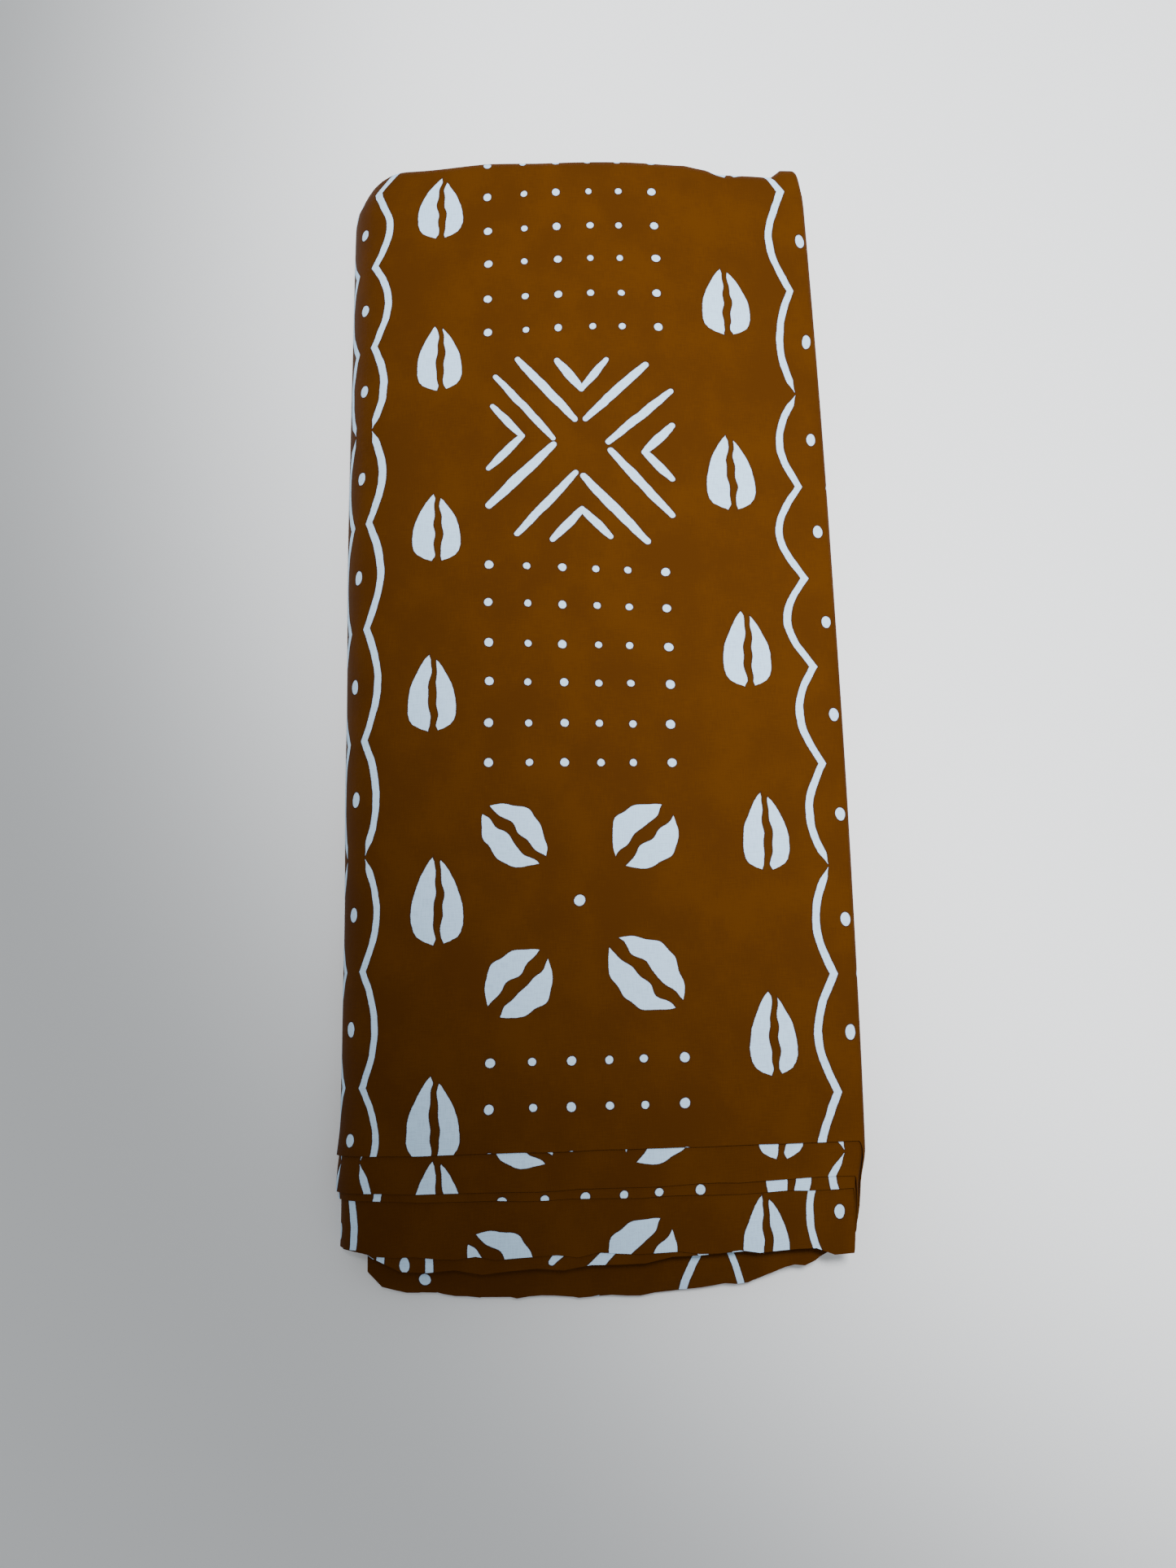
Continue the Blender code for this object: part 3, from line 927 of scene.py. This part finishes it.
def bands(u, v):
    """Distance outside the bands: a row of dots between two scalloped lines, with breaks."""
    two_strips = wrapped(u, STRIP)
    right = above(two_strips, 0.0)
    lobes, breaks, dots, reaches = [], [], [], []
    for start, band, gap in ((LEFT_BAND_START, LEFT_BAND, LEFT_BAND_BREAK),
                             (RIGHT_BAND_START, RIGHT_BAND, RIGHT_BAND_BREAK)):
        fall = Field.math("FRACT", (start - v) / REPEAT)
        places = [row.start / REPEAT for row in band] + [1.0]
        lobe = curve(fall, [(place, i / len(band)) for i, place in enumerate(places)]) * len(band)
        lobes.append(lobe)
        breaks.append(least(size_of(lobe - gap), lobe, len(band) - lobe))
        dots.append(rolling(lobe, [row.dot_u for row in band]))
        reaches.append(rolling(lobe, [row.reach for row in band]))
    lobe = chosen(right, lobes[0], lobes[1])
    to_break = chosen(right, breaks[0], breaks[1])
    reach = chosen(right, reaches[0], reaches[1])
    place = lobe - whole(lobe)
    off_middle = size_of(size_of(two_strips) - chosen(right, dots[0], dots[1]))
    bulge = sine(place * math.pi) * (1.0 - CUSP_SHARE) + CUSP_SHARE
    off_line = size_of(off_middle - bulge * reach)
    slope = Field.math("COSINE", place * math.pi) * reach * CUSP_SLOPE
    width = LINE_HALF_WIDTH * ramp(to_break, *BREAK_TAPER) + LINE_SWELL * bulge
    line = off_line - width * hypotenuse(slope, 1.0)
    line = greatest(line, BREAK_HALF_GAP - to_break * USUAL_LOBE)
    off_centre = (place - 0.5) * (USUAL_LOBE / BAND_DOT_HALF_LENGTH)
    dot = hypotenuse(off_middle / BAND_DOT_HALF_WIDTH, off_centre) * BAND_DOT_RADIUS
    return least(line, dot - BAND_DOT_RADIUS)


def print_distance(u, v):
    """Distance in centimetres outside the nearest white motif, below 0 inside it."""
    second = above(size_of(wrapped(u, STRIP)), STRIP / 2)
    in_strip = wrapped(u, STRIP / 2)
    in_repeat = wrapped(v + second * SECOND_STRIP_SLIP, REPEAT / 2)
    motifs = [motif(in_strip, in_repeat) for motif in (cowries, flower, cross, dot_grid)]
    return least(*motifs, bands(u, v))


# Sockets of a Mix node that take its two colours and give the colour between them
MIX_COLOURS = (6, 7)
MIX_RESULT = 2


def blend_colour(share, low, high):
    """A colour between two, each a plain colour or a socket."""
    node = Field.tree.nodes.new("ShaderNodeMix")
    node.data_type = "RGBA"
    Field.plug(node.inputs[0], share)
    for socket, colour in zip(MIX_COLOURS, (low, high)):
        if isinstance(colour, tuple):
            node.inputs[socket].default_value = colour
        else:
            Field.tree.links.new(colour, node.inputs[socket])
    return node.outputs[MIX_RESULT]


# Colours of the dyed ground, its darker patches and outlines, and the undyed motifs
GROUND = (0.0790, 0.0240, 0.0002, 1.0)
GROUND_DEEP = (0.0650, 0.0190, 0.0002, 1.0)
OUTLINE = (0.0340, 0.0105, 0.0045, 1.0)
WHITE = (0.54, 0.76, 0.98, 1.0)
WHITE_DULL = (0.48, 0.66, 0.86, 1.0)

# Grain of the cloth and of its dye: how many a centimetre across and along, how finely they are
# broken up, and where the noise is read
Grain = namedtuple("Grain", "across along detail seed")
WOBBLE_U = Grain(0.9, 0.9, 3.0, 11.0)
WOBBLE_V = Grain(0.8, 0.8, 3.0, 57.0)
SLUBS_ACROSS = Grain(1.6, 22.0, 2.0, 3.0)
SLUBS_ALONG = Grain(22.0, 1.6, 2.0, 29.0)
MOTTLE = Grain(0.35, 0.28, 4.0, 5.0)

# How far the wobble and the slubs draw the motifs' edges out of true, and, in distances from an
# edge, where the white ends and where the darker outline fades
WOBBLE_SWING = 0.11
SLUB_SWING = 0.030
WHITE_EDGE = (0.018, -0.018)
OUTLINE_EDGE = (0.085, 0.02)
OUTLINE_SHARE = 0.75

# How the mottle and the threads add up to patches, and what range of them changes the colours
MOTTLE_SHARE = 0.55
PATCH_RANGE = (0.38, 0.66)
WHITE_RANGE = (0.36, 0.56)

# The cotton's finish, and the relief of its weave
COTTON_ROUGHNESS = 0.78
COTTON_GLOSS = 0.06
COTTON_SHEEN = 0.02
COTTON_SHEEN_ROUGHNESS = 0.45
THREAD_PAIRS_PER_CM = 11.0
WEAVE_SHARE = 0.25
RELIEF_STRENGTH = 0.45
RELIEF_DEPTH = 0.00012

CM_PER_METRE = 100.0


def printed_cotton():
    """Cotton with the print dyed in, a plain weave and small slubs."""
    material = bpy.data.materials.new("printed_cotton")
    material.use_nodes = True
    tree = material.node_tree
    Field.tree = tree
    shader = tree.nodes["Principled BSDF"]
    layout = tree.nodes.new("ShaderNodeUVMap")
    layout.uv_map = "print_metres"
    split = tree.nodes.new("ShaderNodeSeparateXYZ")
    tree.links.new(layout.outputs[0], split.inputs[0])
    u = Field(split.outputs[0]) * CM_PER_METRE
    v = Field(split.outputs[1]) * CM_PER_METRE
    wobble_u, wobble_v = noise(u, v, WOBBLE_U), noise(u, v, WOBBLE_V)
    slub_across, slub_along = noise(u, v, SLUBS_ACROSS), noise(u, v, SLUBS_ALONG)
    drawn_u = u + (wobble_u - 0.5) * WOBBLE_SWING + (slub_across - 0.5) * SLUB_SWING
    drawn_v = v + (wobble_v - 0.5) * WOBBLE_SWING + (slub_along - 0.5) * SLUB_SWING
    distance = print_distance(drawn_u, drawn_v)
    undyed = ramp(distance, *WHITE_EDGE)
    edge = ramp(distance, *OUTLINE_EDGE) * OUTLINE_SHARE
    threads = slub_across * 0.5 + slub_along * 0.5
    patches = noise(u, v, MOTTLE) * MOTTLE_SHARE + threads * (1.0 - MOTTLE_SHARE)
    ground = blend_colour(ramp(patches, *PATCH_RANGE), GROUND_DEEP, GROUND)
    ground = blend_colour(edge, ground, OUTLINE)
    white = blend_colour(ramp(threads, *WHITE_RANGE), WHITE_DULL, WHITE)
    colour = blend_colour(undyed, ground, white)
    tree.links.new(colour, shader.inputs["Base Color"])
    shader.inputs["Roughness"].default_value = COTTON_ROUGHNESS
    shader.inputs["Specular IOR Level"].default_value = COTTON_GLOSS
    shader.inputs["Sheen Weight"].default_value = COTTON_SHEEN
    shader.inputs["Sheen Roughness"].default_value = COTTON_SHEEN_ROUGHNESS
    thread_turns = 2.0 * math.pi * THREAD_PAIRS_PER_CM
    relief = sine(u * thread_turns) * sine(v * thread_turns) * WEAVE_SHARE + threads
    bump = tree.nodes.new("ShaderNodeBump")
    bump.inputs["Strength"].default_value = RELIEF_STRENGTH
    bump.inputs["Distance"].default_value = RELIEF_DEPTH
    Field.plug(bump.inputs["Height"], relief)
    tree.links.new(bump.outputs[0], shader.inputs["Normal"])
    return material


# Floor: half its side, and its plain pale finish
FLOOR_REACH = 4.0
FLOOR_COLOUR = (0.95, 0.95, 0.95, 1.0)
FLOOR_ROUGHNESS = 0.9
FLOOR_GLOSS = 0.1

# Light: an even surround, and one lamp whose cone ends softly past the bundle's near left corner
SURROUND_COLOUR = (0.93, 0.97, 1.0, 1.0)
SURROUND_STRENGTH = 0.50
LAMP_PLACE = (0.14, 0.20, 1.45)
LAMP_AIM = (0.70, 0.42, 0.0)
LAMP_POWER = 164.0
LAMP_COLOUR = (0.96, 0.98, 1.0)
LAMP_RADIUS = 0.16
LAMP_CONE = math.radians(79)
LAMP_FADE = 0.42

# Camera, above the bundle's near half and tilted towards its far end
SENSOR_HEIGHT_MM = 36.0
LENS_MM = 27.09
NEAREST_SEEN = 0.01
CAMERA_PLACE = (-0.0040, -0.1918, 0.6230)
CAMERA_TILT = math.radians(12.6)
CAMERA_TURN = math.radians(-1.167)


def pale_floor():
    """A plain pale floor under the bundle."""
    mesh = bpy.data.meshes.new("floor")
    sides = ((-1, -1), (1, -1), (1, 1), (-1, 1))
    corners = [(x * FLOOR_REACH, y * FLOOR_REACH, 0.0) for x, y in sides]
    mesh.from_pydata(corners, [], [(0, 1, 2, 3)])
    floor = bpy.data.objects.new("floor", mesh)
    bpy.context.scene.collection.objects.link(floor)
    material = bpy.data.materials.new("pale_floor")
    material.use_nodes = True
    shader = material.node_tree.nodes["Principled BSDF"]
    shader.inputs["Base Color"].default_value = FLOOR_COLOUR
    shader.inputs["Roughness"].default_value = FLOOR_ROUGHNESS
    shader.inputs["Specular IOR Level"].default_value = FLOOR_GLOSS
    mesh.materials.append(material)


def soft_light():
    """A soft wide lamp overhead, whose light fades towards the near left, over a pale surround."""
    world = bpy.data.worlds.new("surround")
    world.use_nodes = True
    backdrop = world.node_tree.nodes["Background"]
    backdrop.inputs["Color"].default_value = SURROUND_COLOUR
    backdrop.inputs["Strength"].default_value = SURROUND_STRENGTH
    bpy.context.scene.world = world
    light = bpy.data.lights.new("lamp", "SPOT")
    light.energy = LAMP_POWER
    light.color = LAMP_COLOUR
    light.shadow_soft_size = LAMP_RADIUS
    light.spot_size = LAMP_CONE
    light.spot_blend = LAMP_FADE
    lamp = bpy.data.objects.new("lamp", light)
    bpy.context.scene.collection.objects.link(lamp)
    lamp.location = LAMP_PLACE
    x, y, z = np.array(LAMP_PLACE) - np.array(LAMP_AIM)
    lamp.rotation_euler = (math.atan2(math.hypot(x, y), z), 0.0, math.atan2(x, -y))


def camera():
    """The view that a person bending over the bundle has."""
    lens = bpy.data.cameras.new("camera")
    lens.sensor_fit = "VERTICAL"
    lens.sensor_height = SENSOR_HEIGHT_MM
    lens.lens = LENS_MM
    lens.clip_start = NEAREST_SEEN
    viewer = bpy.data.objects.new("camera", lens)
    bpy.context.scene.collection.objects.link(viewer)
    viewer.location = CAMERA_PLACE
    viewer.rotation_euler = (CAMERA_TILT, 0.0, CAMERA_TURN)
    bpy.context.scene.camera = viewer


cloth = thick_cloth(printed_cotton())
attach(cloth, "root")
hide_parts("folded_cloth")
pale_floor()
soft_light()
camera()
